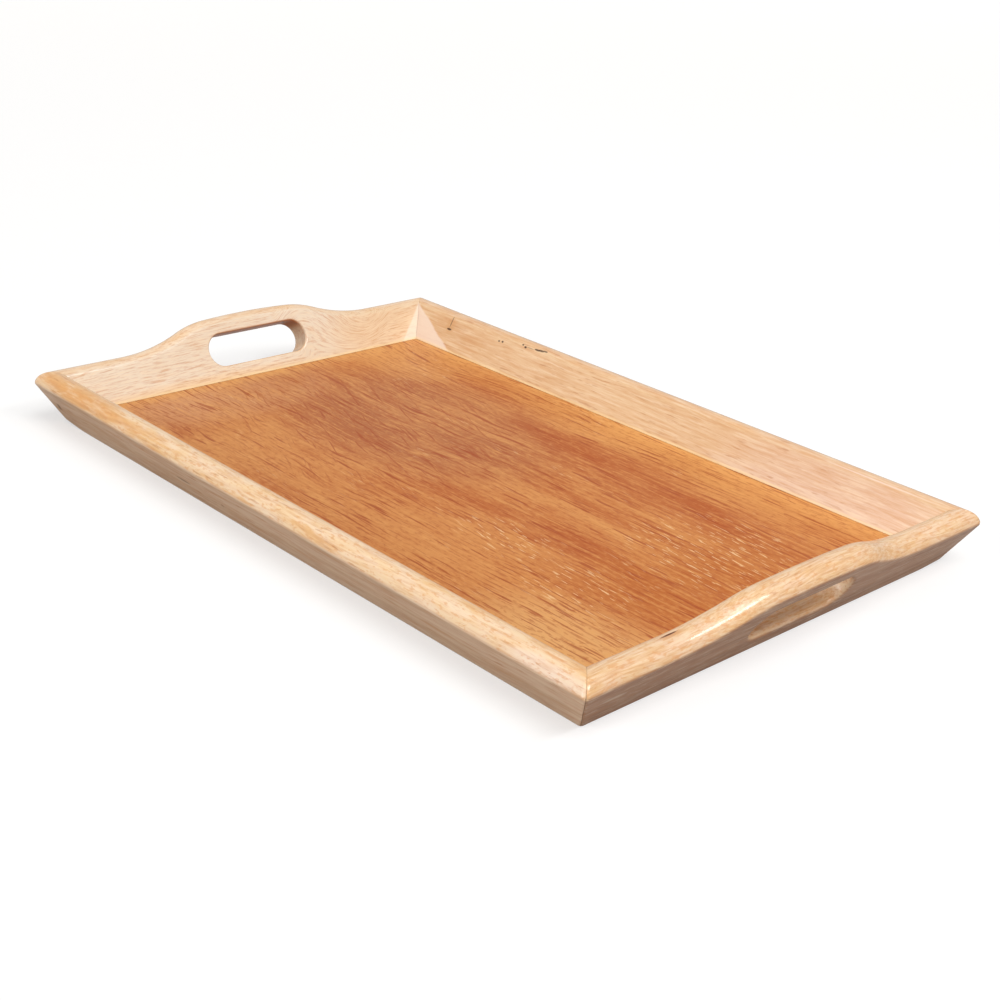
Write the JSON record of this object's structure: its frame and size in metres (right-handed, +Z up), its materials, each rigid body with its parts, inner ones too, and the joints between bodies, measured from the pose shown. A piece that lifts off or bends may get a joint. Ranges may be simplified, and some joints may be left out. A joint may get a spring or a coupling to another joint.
{
  "type": "serving tray",
  "caption": "Rectangular wooden serving tray with leaning mitred rails, a raised handle with a hand slot at each end, and a veneered floor.",
  "frame": {"origin": "middle of the footprint, on the surface that the tray stands on", "axes": "+X along the tray towards the right handle, +Y across it towards the back rail, +Z up"},
  "size_m": [0.631, 0.406, 0.057],
  "materials": {
    "rail_wood": "satin lacquer over pale close-grained hardwood",
    "face_veneer": "satin lacquer over reddish-brown veneer, grain along the tray",
    "core_ply": "bare plywood core",
    "back_veneer": "thin lacquer over pale veneer",
    "dowel_wood": "bare turned hardwood"
  },
  "bodies": {
    "root": {"front_rail": "rail_wood", "back_rail": "rail_wood", "left_handle_rail": "rail_wood", "right_handle_rail": "rail_wood", "floor_face_veneer": "face_veneer", "floor_core": "core_ply", "floor_back_veneer": "back_veneer", "dowel_front_left_low": "dowel_wood", "dowel_front_left_high": "dowel_wood", "dowel_front_right_low": "dowel_wood", "dowel_front_right_high": "dowel_wood", "dowel_back_left_low": "dowel_wood", "dowel_back_left_high": "dowel_wood", "dowel_back_right_low": "dowel_wood", "dowel_back_right_high": "dowel_wood"}
  },
  "joints": []
}
